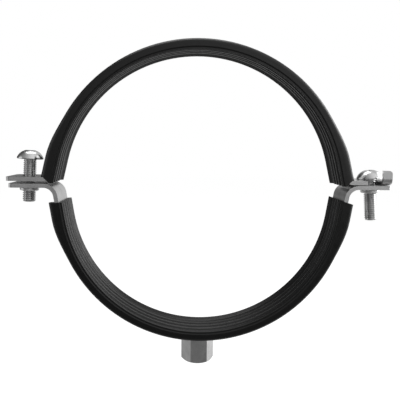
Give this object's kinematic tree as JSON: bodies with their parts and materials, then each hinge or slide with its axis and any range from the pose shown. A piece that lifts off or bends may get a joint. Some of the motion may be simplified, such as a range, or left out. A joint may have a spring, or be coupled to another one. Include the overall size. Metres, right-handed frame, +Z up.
{
  "type": "rubber lined pipe clamp",
  "caption": "Two-piece steel pipe clamp with a ribbed rubber lining, screwed ears, a swing-open catch and a welded threaded nut for a hanging rod.",
  "frame": {"origin": "centre of the pipe seat, on the pipe's axis at the middle of the clamp's width", "axes": "+X towards the locking ear, +Y to the back along the pipe, +Z up, away from the welded nut"},
  "size_m": [0.235, 0.0286, 0.2014],
  "materials": {
    "zinc_steel": "zinc plated, satin",
    "bright_zinc": "bright zinc plated",
    "black_rubber": "moulded, semi-matt"
  },
  "bodies": {
    "lower_half": {"lower_band": "zinc_steel", "lower_liner": "black_rubber", "connecting_nut": "zinc_steel"},
    "upper_half": {"upper_band": "zinc_steel", "upper_liner": "black_rubber"},
    "pivot_screw": {"pivot_screw": "bright_zinc"},
    "locking_screw": {"locking_screw": "bright_zinc"}
  },
  "joints": [
    {"name": "upper_half_swing", "type": "hinge", "parent": "lower_half", "child": "upper_half", "pos_m": [-0.10745, 0, 0.009], "axis": [0, 0, 1], "range_deg": [0, 150]},
    {"name": "pivot_screw_travel", "type": "slide", "parent": "lower_half", "child": "pivot_screw", "axis": [0.0523, 0, 0.9986], "range_m": [-0.0098, 0.01]},
    {"name": "locking_screw_travel", "type": "slide", "parent": "lower_half", "child": "locking_screw", "axis": [-0.0785, 0, 0.9969], "range_m": [0, 0.022]}
  ]
}
